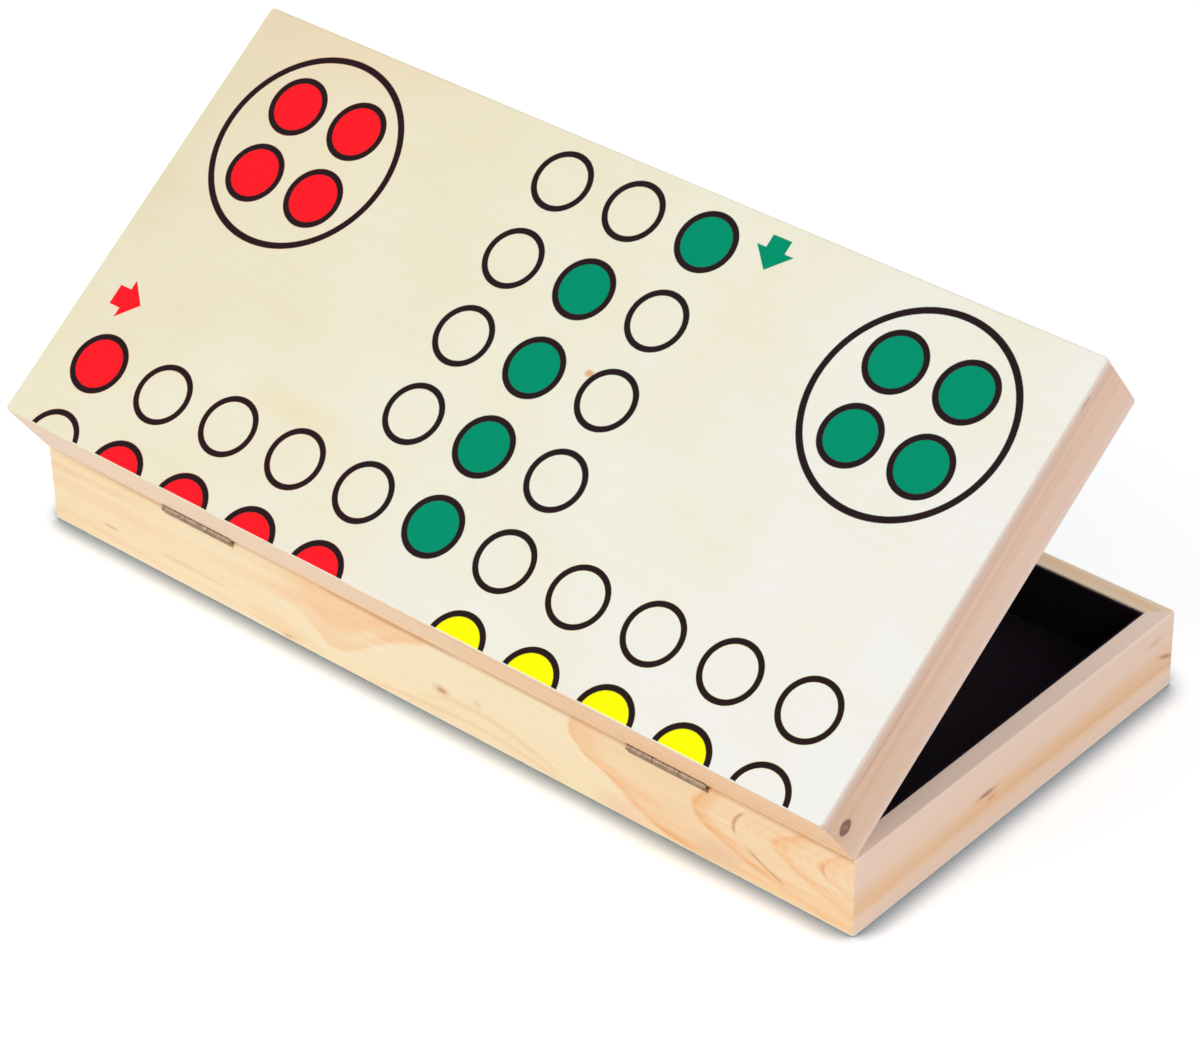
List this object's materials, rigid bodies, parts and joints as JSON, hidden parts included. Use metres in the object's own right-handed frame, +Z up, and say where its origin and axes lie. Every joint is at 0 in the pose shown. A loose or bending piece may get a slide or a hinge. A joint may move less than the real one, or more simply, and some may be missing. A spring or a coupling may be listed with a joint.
{
  "type": "folding ludo board box",
  "caption": "Shallow wooden box in two hinged halves whose outer faces together make a ludo board, with a felt-lined tray in each half and a hook latch.",
  "frame": {"origin": "centre of the base's underside, the face that the closed or open box stands on", "axes": "+X along the spine, to the right as seen from the hinge side; the hinge side faces -Y and the opening side +Y; +Z up, out of the base tray"},
  "size_m": [0.24, 0.1274, 0.1019],
  "materials": {
    "pine": "sanded pine, unvarnished, eased edges",
    "printed_ply": "pale basswood plywood, matt, screen-printed",
    "felt": "thin black felt, glued down",
    "hinge_steel": "dull plated steel",
    "brass": "stamped brass, satin"
  },
  "bodies": {
    "base": {"base_spine_wall": "pine", "base_opening_wall": "pine", "base_left_end_wall": "pine", "base_right_end_wall": "pine", "base_panel": "printed_ply", "base_floor_lining": "felt", "base_wall_lining": "felt", "base_hinge_screws": "hinge_steel", "left_hinge_base_leaf": "hinge_steel", "right_hinge_base_leaf": "hinge_steel", "left_hinge_pin": "hinge_steel", "right_hinge_pin": "hinge_steel", "latch_catch_screw": "brass"},
    "lid": {"lid_spine_wall": "pine", "lid_opening_wall": "pine", "lid_left_end_wall": "pine", "lid_right_end_wall": "pine", "lid_panel": "printed_ply", "lid_floor_lining": "felt", "lid_wall_lining": "felt", "lid_hinge_screws": "hinge_steel", "left_hinge_lid_leaf": "hinge_steel", "right_hinge_lid_leaf": "hinge_steel", "latch_pivot_screw": "brass"},
    "hook": {"latch_hook": "brass"}
  },
  "joints": [
    {"name": "lid_hinge", "type": "hinge", "parent": "base", "child": "lid", "pos_m": [0, -0.05715, 0.02015], "axis": [1, 0, 0], "range_deg": [-35, 145]},
    {"name": "hook_pivot", "type": "hinge", "parent": "lid", "child": "hook", "pos_m": [0, 0.03328, 0.09037], "axis": [0, 0.8192, 0.5736], "range_deg": [-90, 90]}
  ]
}
